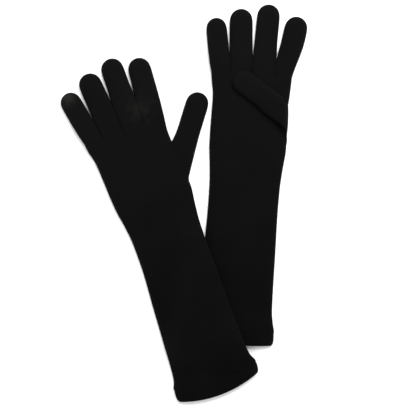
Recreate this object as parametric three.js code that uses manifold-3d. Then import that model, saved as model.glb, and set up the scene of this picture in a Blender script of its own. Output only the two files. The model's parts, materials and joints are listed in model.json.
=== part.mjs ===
// A pair of long knitted gloves laid flat: the right glove lies palm up with its thumb folded over the
// palm, and the left glove lies back up with its sleeve across the right one. Each glove is a sleeve tube
// with a turned hem, a hand tube, four finger tubes and a thumb tube, all hollow, in one ply of knitted
// fabric.
// Millimetres, +Z up from the surface that the gloves lie on, +Y towards the fingertips.
import * as THREE from "three";
import { mergeVertices } from "three/addons/utils/BufferGeometryUtils.js";
import Module from "manifold-3d";

const wasm = await Module();
wasm.setup();

// ---- the pattern, the same for both gloves ----
const ply = 1.4; // thickness of the knitted fabric
const joinGap = 0.3; // between neighbouring tubes
const sleeveThickness = 8.5; // height of the flattened sleeve
const handThickness = 10;
const fingerThickness = 9.8;
const thumbThickness = 9.4;
const hemDepth = 12;
const hemThickness = 10.2; // the hem is folded double, so it stands higher than the sleeve
const stitchWidth = 1.4; // band of stitching that closes the hem
const wristWidth = 78.2;
const flareLength = 42; // from the hem's edge to the end of the flare
const wristToThumb = 46; // wrist to the lower end of the thumb's seam
const thumbSeam = 47; // length of the thumb's seam on the hand
const thumbToKnuckles = 29; // upper end of the thumb's seam to the finger bases
const thumbSeamInset = 2.5; // how far the seam's upper end lies in from its lower end
const thumbHoleDepth = 4; // how far the thumb's hole is cut into the hand's rounded side
const thumb = { length: 76.5, width: 26 };
// From the little finger to the index finger: length, width at the base and full width.
const fingers = [
  { name: "little", length: 59.2, base: 21, width: 23.4 },
  { name: "ring", length: 68.6, base: 23.5, width: 26 },
  { name: "middle", length: 75, base: 25, width: 25.6 },
  { name: "index", length: 66.6, base: 24.8, width: 25.9 },
];
const fingerSplit = 0.4; // space between two neighbouring fingers at their bases
const fullWidthAt = 0.42; // share of a finger's length at which it reaches its full width

// ---- how each glove lies and is drawn out; angles in degrees, positive to the left as seen from above ----
const leftLay = {
  name: "left",
  hem: [0, 0], // middle of the hem's edge
  lean: 17.5,
  sleeve: 190, // hem's edge to the wrist
  drift: -11.3, // sideways shift of the finger bases
  cuffDrift: 2.6, // sideways shift of the hem
  cuffWidth: 98, // across the hem at its widest
  upperWidth: 86, // across the sleeve where the cuff's flare ends
  middleWidth: 80.6, // across the middle of the sleeve
  palmWidth: 89.2, // across the hand at the thumb
  hemBow: 8.5, // how far the middle of the hem's edge hangs below its corners
  hemSkew: 2.6, // one corner of the hem lies higher than the other
  fingerLean: [12.6, 6.2, 2, -1.6],
  thumbLean: -34.6,
  thumbShift: 0, // of its middle line, towards the upper end of its seam
  thumbFolded: false,
};
const rightLay = {
  name: "right",
  palmWidth: 86,
  lean: -4.3,
  sleeve: 178,
  drift: 0.9,
  cuffDrift: 0,
  cuffWidth: 91,
  upperWidth: 80.8,
  middleWidth: 78.8,
  hemBow: 2,
  hemSkew: 0,
  fingerLean: [9.6, 3.9, -1.4, -8.4],
  thumbLean: -52.5,
  thumbShift: 4.7,
  thumbFolded: true,
};
const palmOverlap = 71.9; // how far the right hem is moved back from where the palms are side by side
rightLay.hem = [(leftLay.palmWidth + rightLay.palmWidth) / 2 - palmOverlap, 55.4];
const driftStart = 120; // height above the hem at which the hand's sideways shift begins
const cuffDriftLength = 150; // height above the hem over which its sideways shift fades
const drapeGap = 0.5; // between the right sleeve and the left sleeve that lies on it
const drapeMargin = 8; // the left sleeve stays up until this far beside the right one
const drapeSpan = 16; // width of the slope where it comes down to the surface
const drapeEnd = 12; // the slope dies out over this length below the left wrist
const arcSteps = 5; // segments in each rounded side of a tube
const fabricColour = 0x0b0b0c;
const threadColour = 0x101011;

const rad = THREE.MathUtils.degToRad;
const smooth = (t) => THREE.MathUtils.smoothstep(t, 0, 1);
const lerp = THREE.MathUtils.lerp;

// A smooth curve through [position, value] points that never overshoots them.
function profile(points) {
  const n = points.length;
  const slope = points.slice(1).map(([p, v], i) => (v - points[i][1]) / (p - points[i][0]));
  const tangent = points.map((_, i) => {
    if (i === 0) return slope[0];
    if (i === n - 1) return slope[n - 2];
    const [a, b] = [slope[i - 1], slope[i]];
    return a * b <= 0 ? 0 : (2 * a * b) / (a + b);
  });
  return (at) => {
    const i = Math.min(Math.max(points.findIndex(([p]) => p > at) - 1, 0), n - 2);
    const last = at >= points[n - 1][0] ? n - 2 : i;
    const [[p0, v0], [p1, v1]] = [points[last], points[last + 1]];
    const step = p1 - p0;
    const t = THREE.MathUtils.clamp((at - p0) / step, 0, 1);
    const [t2, t3] = [t * t, t * t * t];
    return (
      v0 * (2 * t3 - 3 * t2 + 1) +
      tangent[last] * step * (t3 - 2 * t2 + t) +
      v1 * (3 * t2 - 2 * t3) +
      tangent[last + 1] * step * (t3 - t2)
    );
  };
}

// The outline of one glove in its own frame: the origin is the middle of the hem's edge, and +Y runs up
// the sleeve.
function outline(lay) {
  const wrist = lay.sleeve;
  const notch = wrist + wristToThumb; // lower end of the thumb's seam
  const fork = notch + thumbSeam; // its upper end
  const knuckles = fork + thumbToKnuckles;
  const centre = (y) =>
    lay.drift * Math.max(0, (y - driftStart) / (knuckles - driftStart)) ** 2 +
    lay.cuffDrift * Math.max(0, 1 - y / cuffDriftLength) ** 2;
  const taper = (y) => thumbSeamInset * THREE.MathUtils.clamp((y - notch) / thumbSeam, 0, 1);
  const half = profile([
    [0, lay.cuffWidth / 2 - 2.5],
    [hemDepth * 0.7, lay.cuffWidth / 2],
    [hemDepth + 10, lerp(lay.upperWidth, lay.cuffWidth, 0.3) / 2],
    [flareLength, lay.upperWidth / 2],
    [(flareLength + wrist) / 2, lay.middleWidth / 2],
    [wrist - 30, wristWidth / 2 - 0.4],
    [wrist, wristWidth / 2],
    [notch, lay.palmWidth / 2],
    [fork, lay.palmWidth / 2],
  ]);
  // The finger bases are a chain of lines, each square to its finger, with the fork of the two middle
  // fingers level with the knuckles.
  const forks = [new THREE.Vector2(0, 0)];
  fingers.forEach((f, i) => {
    const angle = rad(lay.fingerLean[i]);
    const along = new THREE.Vector2(Math.cos(angle), Math.sin(angle));
    forks.push(forks[i].clone().addScaledVector(along, f.base));
  });
  const middle = (forks[0].x + forks[4].x) / 2;
  const shift = new THREE.Vector2(centre(knuckles) - middle, knuckles - forks[2].y);
  forks.forEach((k) => k.add(shift));
  const left = (y) => centre(y) - half(y);
  const right = (y) => centre(y) + half(y) - taper(y);
  const seamLow = new THREE.Vector2(right(notch), notch);
  const seamHigh = new THREE.Vector2(right(fork), fork);
  return { wrist, notch, fork, knuckles, centre, half, left, right, forks, seamLow, seamHigh };
}

// Points round the section of a flattened tube, from u = -1 at its left side to 1 at its right: { u, z }
// for each, with the rounded sides as half circles. cuts are the places across the flat where points are
// wanted.
function section(half, thickness, inset, cuts) {
  const radius = thickness / 2;
  const side = (sign, from) =>
    Array.from({ length: arcSteps + 1 }, (_, i) => {
      const angle = from + (Math.PI * i) / arcSteps;
      return {
        u: (sign * (half - radius) + (radius - inset) * Math.cos(angle)) / half,
        z: radius + (radius - inset) * Math.sin(angle),
      };
    });
  const flat = (z) => cuts.map((u) => ({ u, z }));
  return [
    ...side(1, -Math.PI / 2),
    ...flat(thickness - inset).reverse(),
    ...side(-1, Math.PI / 2),
    ...flat(inset),
  ];
}

// A closed skin through rings of points: between two rings, over the end of a tube, or to a point at a tip.
class Skin {
  constructor() {
    this.points = [];
    this.faces = [];
  }
  ring(points) {
    const first = this.points.length;
    this.points.push(...points);
    return points.map((_, i) => first + i);
  }
  band(a, b) {
    a.forEach((_, i) => {
      const j = (i + 1) % a.length;
      this.faces.push(a[i], b[j], a[j], a[i], b[i], b[j]);
    });
  }
  fan(ring, tip) {
    const [top] = this.ring([tip]);
    ring.forEach((a, i) => this.faces.push(a, top, ring[(i + 1) % ring.length]));
  }
  geometry() {
    const places = this.points.flatMap((p) => p.toArray());
    return new THREE.BufferGeometry()
      .setAttribute("position", new THREE.Float32BufferAttribute(places, 3))
      .setIndex(this.faces);
  }
}

// A hollow tube from its outer and inner rings, open at its first ring, and closed at its last where tips
// are given.
function tube(outer, inner, tips) {
  const skin = new Skin();
  const out = outer.map((r) => skin.ring(r));
  const inn = inner.map((r) => skin.ring(r));
  for (let i = 1; i < out.length; i++) skin.band(out[i - 1], out[i]);
  for (let i = 1; i < inn.length; i++) skin.band(inn[i], inn[i - 1]);
  skin.band(inn[0], out[0]);
  if (tips) {
    skin.fan(out.at(-1), tips[0]);
    skin.fan([...inn.at(-1)].reverse(), tips[1]);
  } else {
    skin.band(out.at(-1), inn.at(-1));
  }
  return skin.geometry();
}

// The solid inside a closed skin, and back.
function solid(geometry) {
  const bare = geometry.clone();
  bare.deleteAttribute("normal");
  bare.deleteAttribute("uv");
  const merged = mergeVertices(bare, 1e-4);
  const vertProperties = new Float32Array(merged.attributes.position.array);
  const triVerts = new Uint32Array(merged.index.array);
  return new wasm.Manifold(new wasm.Mesh({ numProp: 3, vertProperties, triVerts }));
}

function geometryOf(shape) {
  const mesh = shape.getMesh();
  return new THREE.BufferGeometry()
    .setAttribute("position", new THREE.BufferAttribute(mesh.vertProperties, 3))
    .setIndex(new THREE.BufferAttribute(mesh.triVerts, 1));
}

// How far the left sleeve is lifted, at a point of the left glove's frame, to lie over the right sleeve.
function drape(x, y) {
  const p = new THREE.Vector2(x, y)
    .rotateAround(new THREE.Vector2(), rad(leftLay.lean))
    .add(new THREE.Vector2(...leftLay.hem))
    .sub(new THREE.Vector2(...rightLay.hem))
    .rotateAround(new THREE.Vector2(), rad(-rightLay.lean));
  const shape = outline(rightLay);
  const beside = Math.abs(p.x - shape.centre(p.y)) - shape.half(p.y);
  const below = -p.y;
  const away = Math.hypot(Math.max(beside, 0), Math.max(below, 0));
  const height = hemThickness + drapeGap;
  const alive = smooth((leftLay.sleeve - y) / drapeEnd);
  return height * smooth(1 - (away - drapeMargin) / drapeSpan) * alive;
}

// Sleeve and hem rings: straight across, but bowed towards the hem's edge.
const sleeveCuts = Array.from({ length: 9 }, (_, i) => 0.8 * (i / 4 - 1));

function sleeveRing(lay, shape, y, thickness, inset) {
  const half = shape.half(y);
  const bowed = 1 - smooth(y / (2 * flareLength));
  return section(half, thickness, inset, sleeveCuts).map(({ u, z }) => {
    const px = shape.centre(y) + u * half;
    const py = y + bowed * (lay.hemBow * u * u + lay.hemSkew * u);
    const lift = lay.name === "left" ? drape(px, py) : 0;
    return new THREE.Vector3(px, py, z + lift);
  });
}

function sleevePiece(lay, shape, from, to, steps, thickness, wall) {
  const places = Array.from({ length: steps + 1 }, (_, i) => lerp(from, to, i / steps));
  const rings = (inset) => places.map((y) => sleeveRing(lay, shape, y, thickness, inset));
  return tube(rings(0), rings(wall));
}

// The hand: its lower end is square to the sleeve, and its upper end follows the finger bases.
const handSteps = 7;
const forkFollowing = 0.8; // how far the rings below the finger bases take on their line

function handTube(shape) {
  const { wrist, forks, knuckles } = shape;
  const start = wrist + joinGap;
  const low = forks[0].x;
  const span = forks[4].x - low;
  const cuts = forks.slice(1, 4).map((k) => (2 * (k.x - low)) / span - 1);
  const alongForks = (u) => {
    const x = low + ((u + 1) / 2) * span;
    const i = Math.min(Math.max(forks.findIndex((k) => k.x > x) - 1, 0), 3);
    const [a, b] = [forks[i], forks[i + 1]];
    return new THREE.Vector2().lerpVectors(a, b, (x - a.x) / (b.x - a.x));
  };
  const rings = (inset) =>
    Array.from({ length: handSteps + 1 }, (_, i) => {
      const y = lerp(start, knuckles, i / handSteps);
      const spread = smooth((y - shape.fork) / (knuckles - shape.fork));
      const follow = i === handSteps ? 1 : spread * forkFollowing;
      const thickness = lerp(sleeveThickness, handThickness, smooth((y - wrist) / wristToThumb));
      const half = lerp(shape.half(y), span / 2, spread);
      return section(half, thickness, inset, cuts).map(({ u, z }) => {
        const across = new THREE.Vector2(lerp(shape.left(y), shape.right(y), (u + 1) / 2), y);
        const point = across.lerp(alongForks(u), follow);
        return new THREE.Vector3(point.x, point.y, z);
      });
    });
  return geometryOf(solid(tube(rings(0), rings(ply))).subtract(thumbHole(shape)));
}

// A unit square to the thumb's seam, away from the hand.
function seamSide(shape) {
  const seam = new THREE.Vector2().subVectors(shape.seamHigh, shape.seamLow).normalize();
  return new THREE.Vector2(seam.y, -seam.x);
}

// What is cut away for the thumb: everything beside a line along the seam, thumbHoleDepth inside the
// hand's edge.
function thumbHole(shape) {
  const side = seamSide(shape);
  const reach = 2 * handThickness;
  const corners = [shape.seamLow, shape.seamHigh].flatMap((p, i) => {
    const near = p.clone().addScaledVector(side, -thumbHoleDepth);
    const far = p.clone().addScaledVector(side, reach);
    return i === 0 ? [near, far] : [far, near];
  });
  const depth = 2 * handThickness;
  const cutter = new THREE.ExtrudeGeometry(new THREE.Shape(corners), { depth, bevelEnabled: false });
  return solid(cutter.translate(0, 0, -handThickness / 2));
}

// A digit closed by a rounded tip: right and left are the two ends of its base line, and inset gives its
// inner skin.
const tipRoundness = 1.02; // length of the rounded tip, as a share of the digit's half width
const tipAngles = [30, 52, 72]; // where the tip's rings lie on its curve
const tipFlatness = 0.75; // how much the tip's height follows that curve

function digitRings(right, left, direction, size, inset) {
  const across = new THREE.Vector2(direction.y, -direction.x);
  const middle = left.clone().lerp(right, 0.5).addScaledVector(across, -size.shift);
  const full = size.width / 2;
  const tipLength = full * tipRoundness;
  const straight = size.length - tipLength;
  const at = (along, side) =>
    middle.clone().addScaledVector(direction, along).addScaledVector(across, side);
  const ring = (a, b, thickness, shrink) =>
    section(a.distanceTo(b) / 2, thickness, inset, []).map(({ u, z }) => {
      const p = b.clone().lerp(a, (u + 1) / 2);
      return new THREE.Vector3(p.x, p.y, lerp(thickness / 2, z, shrink));
    });
  const rings = [0, 0.5, 1].map((t) => {
    const along = size.fullAt * t;
    const bulge = Math.sin((t * Math.PI) / 2);
    const a = right.clone().addScaledVector(direction, along).lerp(at(along, full), bulge);
    const b = left.clone().addScaledVector(direction, along).lerp(at(along, -full), bulge);
    return ring(a, b, size.thickness, 1);
  });
  if (size.neck) {
    const [a, b] = [right.clone().add(size.neck), left.clone().add(size.neck)];
    rings.unshift(ring(a, b, size.thickness, 1));
  }
  rings.push(ring(at(straight, full), at(straight, -full), size.thickness, 1));
  for (const angle of tipAngles.map(rad)) {
    const along = straight + (tipLength - inset) * Math.sin(angle);
    const narrow = inset + (full - inset) * Math.cos(angle);
    const low = lerp(1, Math.cos(angle), tipFlatness);
    const radius = Math.min(size.thickness / 2, narrow * 0.98); // a section is never taller than wide
    const points = ring(at(along, narrow), at(along, -narrow), 2 * radius, low);
    rings.push(points.map((p) => p.setZ(p.z + size.thickness / 2 - radius)));
  }
  const tip = at(size.length - inset, 0);
  return { rings, tip: new THREE.Vector3(tip.x, tip.y, size.thickness / 2) };
}

function digit(right, left, direction, size) {
  const outer = digitRings(right, left, direction, size, 0);
  const inner = digitRings(right, left, direction, size, ply);
  return tube(outer.rings, inner.rings, [outer.tip, inner.tip]);
}

const heading = (lean) => new THREE.Vector2(-Math.sin(rad(lean)), Math.cos(rad(lean)));

function fingerTube(lay, shape, i) {
  const direction = heading(lay.fingerLean[i]);
  const [left, right] = [shape.forks[i], shape.forks[i + 1]];
  const along = right.clone().sub(left).normalize();
  const start = (fork, inwards) =>
    fork.clone().addScaledVector(along, (inwards * fingerSplit) / 2).addScaledVector(direction, joinGap);
  const f = fingers[i];
  const size = { ...f, thickness: fingerThickness, fullAt: f.length * fullWidthAt, shift: 0 };
  return digit(start(right, -1), start(left, 1), direction, size);
}

// The thumb is made lying out flat beside the hand. Where it is folded, it is turned over onto the palm
// about a line along its seam, at this height.
const thumbFoldHeight = (handThickness + joinGap + thumbThickness) / 2;

function thumbTube(lay, shape) {
  const side = seamSide(shape);
  const seam = new THREE.Vector2(-side.y, side.x);
  const start = (end, inwards) =>
    end.clone().addScaledVector(side, joinGap).addScaledVector(seam, inwards * joinGap);
  const size = {
    ...thumb,
    thickness: thumbThickness,
    fullAt: thumb.length * fullWidthAt,
    shift: lay.thumbShift,
    neck: side.clone().multiplyScalar(-thumbHoleDepth),
  };
  const [right, left] = [start(shape.seamLow, 1), start(shape.seamHigh, -1)];
  const geometry = digit(right, left, heading(lay.thumbLean), size);
  if (!lay.thumbFolded) return geometry;
  const axis = shape.seamLow.clone().addScaledVector(side, -thumbHoleDepth / 2);
  const turn = new THREE.Matrix4().makeRotationAxis(new THREE.Vector3(seam.x, seam.y, 0), Math.PI);
  return geometry
    .translate(-axis.x, -axis.y, -thumbFoldHeight)
    .applyMatrix4(turn)
    .translate(axis.x, axis.y, thumbFoldHeight);
}

const fabric = new THREE.MeshStandardMaterial({ color: fabricColour, roughness: 0.95, metalness: 0 });
const thread = new THREE.MeshStandardMaterial({ color: threadColour, roughness: 0.7, metalness: 0 });

const flatSteps = 8; // rings along a sleeve that lies flat
const drapedSteps = 22; // and along the one that lies over it

function glove(lay) {
  const shape = outline(lay);
  const group = new THREE.Group();
  group.position.set(lay.hem[0], lay.hem[1], 0);
  group.rotation.z = rad(lay.lean);
  const add = (name, geometry, material = fabric) => {
    const mesh = new THREE.Mesh(geometry, material);
    mesh.name = lay.name + "_" + name;
    group.add(mesh);
  };
  const stitchStart = hemDepth + joinGap;
  const stitchEnd = stitchStart + stitchWidth;
  const stitchThickness = sleeveThickness + 0.6;
  const stitches = sleevePiece(lay, shape, stitchStart, stitchEnd, 1, stitchThickness, ply / 2);
  const steps = lay.name === "left" ? drapedSteps : flatSteps;
  add("cuff_hem", sleevePiece(lay, shape, 0, hemDepth, 2, hemThickness, 2 * ply));
  add("hem_stitching", stitches, thread);
  add("sleeve", sleevePiece(lay, shape, stitchEnd + joinGap, shape.wrist, steps, sleeveThickness, ply));
  add("hand", handTube(shape));
  fingers.forEach((f, i) => add(f.name + "_finger", fingerTube(lay, shape, i)));
  add("thumb", thumbTube(lay, shape));
  return group;
}

const pair = new THREE.Group();
pair.add(glove(leftLay), glove(rightLay));

// The origin is the middle of the pair's footprint, on the surface that it lies on.
const bounds = new THREE.Box3().setFromObject(pair, true);
const middle = bounds.getCenter(new THREE.Vector3());
pair.position.set(-middle.x, -middle.y, -bounds.min.z);

export default pair;
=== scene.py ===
import json
import math

import bmesh
import bpy
import numpy as np
from mathutils import Matrix, Vector, noise


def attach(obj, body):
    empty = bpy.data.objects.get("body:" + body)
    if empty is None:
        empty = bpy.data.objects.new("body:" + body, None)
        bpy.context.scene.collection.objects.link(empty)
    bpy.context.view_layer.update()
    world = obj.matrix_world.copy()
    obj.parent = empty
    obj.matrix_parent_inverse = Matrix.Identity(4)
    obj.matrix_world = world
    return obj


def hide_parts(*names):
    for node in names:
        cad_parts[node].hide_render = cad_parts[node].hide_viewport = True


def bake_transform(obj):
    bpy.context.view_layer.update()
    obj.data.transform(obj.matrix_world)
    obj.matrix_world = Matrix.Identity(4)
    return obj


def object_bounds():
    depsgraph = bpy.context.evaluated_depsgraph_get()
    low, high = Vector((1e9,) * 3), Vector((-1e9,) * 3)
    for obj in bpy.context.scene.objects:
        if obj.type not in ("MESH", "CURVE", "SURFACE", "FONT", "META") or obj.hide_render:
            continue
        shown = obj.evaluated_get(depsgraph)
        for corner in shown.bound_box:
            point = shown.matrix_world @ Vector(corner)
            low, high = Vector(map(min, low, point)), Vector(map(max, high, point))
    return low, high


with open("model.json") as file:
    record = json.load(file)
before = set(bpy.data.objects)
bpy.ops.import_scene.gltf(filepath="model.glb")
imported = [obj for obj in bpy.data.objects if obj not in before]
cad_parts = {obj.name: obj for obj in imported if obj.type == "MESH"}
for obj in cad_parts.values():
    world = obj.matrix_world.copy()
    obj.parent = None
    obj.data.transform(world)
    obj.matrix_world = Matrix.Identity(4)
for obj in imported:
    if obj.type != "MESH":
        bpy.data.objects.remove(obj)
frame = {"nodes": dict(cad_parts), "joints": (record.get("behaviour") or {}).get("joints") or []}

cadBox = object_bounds()
joints = {joint["name"]: joint for joint in frame["joints"]}
millimetre = 0.001
digitNames = ("index", "middle", "ring", "little")  # from the thumb's side outwards


# A glove is shaped in millimetres in its own frame: x towards the thumb, y from the wrist hinge towards the
# fingertips, z up from the table.
class Glove:
    def __init__(self, side):
        self.side = side
        wrist = joints[side + "_wrist_bend"]
        across = Vector(wrist["axis"]).normalized()
        self.basis = np.array([across, (-across.y, across.x, 0), (0, 0, 1)], float)
        self.origin = np.array([wrist["pos_m"][0], wrist["pos_m"][1], 0])

    def local(self, world):
        return (np.asarray(world, float) - self.origin) @ self.basis.T / millimetre

    def world(self, local):
        return np.asarray(local, float) * millimetre @ self.basis + self.origin

    def cadEdges(self, *parts):
        ends = []
        for part in parts:
            mesh = frame["nodes"][self.side + "_" + part].data
            points = self.local([v.co for v in mesh.vertices])
            pairs = np.array([e.vertices[:] for e in mesh.edges])
            ends.append((points[pairs[:, 0]], points[pairs[:, 1]]))
        return np.concatenate([e[0] for e in ends]), np.concatenate([e[1] for e in ends])


# Where a line square to direction, at distance along it from start, cuts the outermost edges of a CAD solid.
def cutAt(edges, start, direction, distance):
    along = np.array([direction[0], direction[1], 0])
    across = np.array([direction[1], -direction[0], 0])
    a, b = (end - np.array([start[0], start[1], 0]) for end in edges)
    sa, sb = a @ along - distance, b @ along - distance
    hit = (sa * sb <= 0) & (np.abs(sa - sb) > 1e-9)
    t = (sa[hit] / (sa[hit] - sb[hit]))[:, None]
    places = (a[hit] + (b[hit] - a[hit]) * t) @ across
    return (places.min(), places.max()) if len(places) else None


def smoothStep(t):
    t = np.clip(t, 0.0, 1.0)
    return t * t * (3 - 2 * t)


def mix(a, b, t):
    return a + (b - a) * t


# Makes a shown object of a finished bmesh.
def objectFrom(bm, name):
    mesh = bpy.data.meshes.new(name)
    bm.to_mesh(mesh)
    bm.free()
    piece = bpy.data.objects.new(name, mesh)
    bpy.context.scene.collection.objects.link(piece)
    return piece


# A skin grown ring by ring. A face keeps its place on the fabric, in millimetres, and the part it belongs to.
class Skin:
    def __init__(self, places, across):
        self.mesh = bmesh.new()
        self.layer = self.mesh.loops.layers.uv.new("fabric")
        verts = list(bmesh.ops.create_circle(self.mesh, segments=len(places), radius=1.0)["verts"])
        for vert, place in zip(verts, places):
            vert.co = place
        self.first = {"verts": verts, "spans": list(zip(across, across[1:])), "along": [0.0] * len(verts)}

    # marks are the new ring's places on the fabric, where they don't just run on from the ring before
    def grow(self, row, places, part=0, marks=None):
        verts, count = row["verts"], len(row["verts"])
        edges = [self.mesh.edges.get((verts[j], verts[(j + 1) % count])) for j in range(count)]
        grown = bmesh.ops.extrude_edge_only(self.mesh, edges=edges)["geom"]
        fresh = {g for g in grown if isinstance(g, bmesh.types.BMVert)}
        ends = [next(o for o in (e.other_vert(v) for e in v.link_edges) if o in fresh) for v in verts]
        along = []
        for vert, end, place, before in zip(verts, ends, places, row["along"]):
            end.co = place
            along.append(before + (end.co - vert.co).length / millimetre)
        for j, edge in enumerate(edges):
            k = (j + 1) % count
            face = next(f for f in edge.link_faces if ends[j] in f.verts)
            face.material_index = part
            if marks is None:
                start, end = row["spans"][j]
                spots = ((start, row["along"][j]), (end, row["along"][k]), (start, along[j]), (end, along[k]))
            else:
                spots = (row["marks"][j], row["marks"][k], marks[j], marks[k])
            spots = dict(zip((verts[j], verts[k], ends[j], ends[k]), spots))
            for loop in face.loops:
                loop[self.layer].uv = spots[loop.vert]
        return {"verts": ends, "spans": row["spans"], "along": along, "marks": marks}

    def close(self, row, place, part=0, mark=None):
        count = len(row["verts"])
        last = self.grow(row, [place] * count, part, mark and [mark] * count)
        bmesh.ops.pointmerge(self.mesh, verts=last["verts"], merge_co=Vector(place))

    def object(self, name):
        bmesh.ops.recalc_face_normals(self.mesh, faces=self.mesh.faces[:])
        return objectFrom(self.mesh, name)


# Gives a piece its modifiers' shape for good, and smooth shading.
def finishMesh(piece, wall=None, levels=1):
    if levels:
        fine = piece.modifiers.new("fine", "SUBSURF")
        fine.levels = fine.render_levels = levels
    if wall:
        ply = piece.modifiers.new("ply", "SOLIDIFY")
        ply.thickness = wall * millimetre
        ply.offset = -1
    evaluated = piece.evaluated_get(bpy.context.evaluated_depsgraph_get())
    mesh = bpy.data.meshes.new_from_object(evaluated)
    piece.modifiers.clear()
    piece.data = mesh
    mesh.name = piece.name
    for polygon in mesh.polygons:
        polygon.use_smooth = True
    return piece


# Takes a whole skin apart into its parts, each with its own thickness. The parts keep the whole skin's
# normals, so that the fabric runs on from one to the next.
def takeApart(whole, names):
    finishMesh(whole)
    source = whole.data
    numbers = source.attributes.new("source", "INT", "POINT")
    numbers.data.foreach_set("value", range(len(source.vertices)))
    normals = np.array([v.normal for v in source.vertices])
    spots = np.array([v.co for v in source.vertices])
    unmoved = 0.1 * fabric["wall"] * millimetre  # the outer skin stays, the inner one lies a wall below it
    pieces = []
    for part, name in enumerate(names):
        bm = bmesh.new()
        bm.from_mesh(source)
        bmesh.ops.delete(bm, geom=[f for f in bm.faces if f.material_index != part], context="FACES")
        for face in bm.faces:
            face.material_index = 0
        piece = finishMesh(objectFrom(bm, name), fabric["wall"], levels=0)
        mesh = piece.data
        index = np.array([d.value for d in mesh.attributes["source"].data])
        moved = np.linalg.norm(np.array([v.co for v in mesh.vertices]) - spots[index], axis=1)
        signs = np.where(moved < unmoved, 1.0, -1.0)
        mesh.attributes.remove(mesh.attributes["source"])
        mesh.normals_split_custom_set_from_vertices((normals[index] * signs[:, None]).tolist())
        pieces.append(piece)
    bpy.data.objects.remove(whole)
    return pieces


fabric = {
    "wall": 0.9,
    "columns": 12,  # of quads across one finger, on each side
    "fold": 2.6,  # height of the folded side edges above the table
    "sole": 0.35,  # the underside's height above the table
    "shrink": 0.4,  # how far smoothing draws a folded edge in
}


def readOutline(glove):
    readHem(glove)
    glove.digits = {}
    ends = []
    for name in digitNames:
        hinge = joints[f"{glove.side}_{name}_knuckle_bend"]
        start = glove.local(hinge["pos_m"])[:2]
        digit = glove.digits[name] = readDigit(glove.cadEdges(name + "_finger"), start)
        low, high = cutAt(digit["edges"], digit["start"], digit["direction"], fingerShape["base"])
        ends.append([digit["start"] + digit["across"] * t for t in (high, low)])
    glove.forks = [ends[0][0]] + [(ends[i][1] + ends[i + 1][0]) / 2 for i in range(3)] + [ends[3][1]]
    drawnIn = fingerShape["indexDraw"][glove.side]
    glove.forks[0] = glove.forks[0] - glove.digits["index"]["across"] * drawnIn
    glove.knuckles = float(np.mean([fork[1] for fork in glove.forks]))
    readThumbSeam(glove)
    readSides(glove)


# The hem's lower edge bows, as seen across it.
def readHem(glove):
    hem = glove.cadEdges("cuff_hem")
    left, right = hem[0][:, 0].min(), hem[0][:, 0].max()
    xs = np.linspace(left + hemShape["measureIn"], right - hemShape["measureIn"], hemShape["measures"])
    lower = np.array([-cutAt(hem, (0, 0), (1, 0), x)[1] for x in xs])
    centre = float((left + right) / 2)
    glove.hemY = float(np.interp(centre, xs, lower))
    fit = np.polyfit(xs - centre, lower - glove.hemY, 2)
    glove.hemBow = lambda x: np.polyval(fit, x - centre)
    glove.cuffEdges = (left, right, glove.hemY + hemShape["depth"] * hemShape["corners"])


# The thumb's seam on the hand's side.
def readThumbSeam(glove):
    hinge = next(j for n, j in joints.items() if n.startswith(glove.side + "_thumb"))
    seam = glove.basis @ np.array(hinge["axis"])
    seam = seam[:2] * (1 if seam[1] > 0 else -1)
    glove.seam = seam / np.linalg.norm(seam)
    glove.seamSide = np.array([glove.seam[1], -glove.seam[0]])
    glove.thumbHinge = glove.local(hinge["pos_m"])
    middle = glove.thumbHinge[:2] + glove.seamSide * thumbShape["inset"]
    half = glove.seam * thumbShape["seam"] / 2
    glove.seamEnds = [middle - half, middle + half]


sideRows = {"aboveHem": 16, "step": 3.0, "clear": 2}  # where a glove's sides are measured


# The side edges of the sleeve and hand, as a table of heights and places.
def readSides(glove):
    arm = glove.cadEdges("cuff_hem", "hem_stitching", "sleeve")
    hand = glove.cadEdges("hand")
    step, clear = sideRows["step"], sideRows["clear"]
    top = min(glove.forks[0][1], glove.forks[-1][1]) - clear
    armRows = np.arange(glove.hemY + sideRows["aboveHem"], -clear / 2, step)
    ys = np.concatenate([armRows, np.arange(clear, top, step)])
    left, right = np.array([cutAt(arm if y < 0 else hand, (0, 0), (0, 1), y) for y in ys]).T
    inside = (ys > glove.seamEnds[0][1] - clear) & (ys < glove.seamEnds[1][1] + clear)
    right[inside] = np.interp(ys[inside], ys[~inside], right[~inside])
    for side, fork in ((right, glove.forks[0]), (left, glove.forks[-1])):
        near = ys > fork[1] - handShape["shoulder"]
        base = ys[near][0]
        side[near] = np.interp(ys[near], [base, fork[1]], [side[near][0], fork[0]])
    left, right = np.append(left, glove.forks[-1][0]), np.append(right, glove.forks[0][0])
    glove.edgeTable = (np.append(ys, glove.knuckles), left, right)


# The middle line of a finger or thumb that starts at a point: its direction and how far it reaches.
def readDigit(edges, start):
    direction = np.array([0.0, 1.0])
    for _ in range(4):
        reach = max(((end[:, :2] - start) @ direction).max() for end in edges)
        across = np.array([direction[1], -direction[0]])
        spots = []
        for share in fingerShape["middleAt"]:
            low, high = cutAt(edges, start, direction, reach * share)
            spots.append(start + direction * reach * share + across * (low + high) / 2)
        direction = (spots[1] - spots[0]) / np.linalg.norm(spots[1] - spots[0])
    across = np.array([direction[1], -direction[0]])
    reach = max(((end[:, :2] - start) @ direction).max() for end in edges)
    return {"edges": edges, "start": start, "direction": direction, "across": across, "reach": reach}


def sideEdges(glove, y):
    ys, left, right = glove.edgeTable
    return np.interp(y, ys, left), np.interp(y, ys, right)


# The same with the hem's corners, which stand out from the sleeve. rowY is the row's height before it bows.
def cuffedEdges(glove, y, rowY):
    left, right = sideEdges(glove, y)
    cuffLeft, cuffRight, cornerY = glove.cuffEdges
    nearHem = smoothStep(1 - (rowY - cornerY) / hemShape["flare"])
    return mix(left, cuffLeft, nearHem), mix(right, cuffRight, nearHem)


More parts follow.
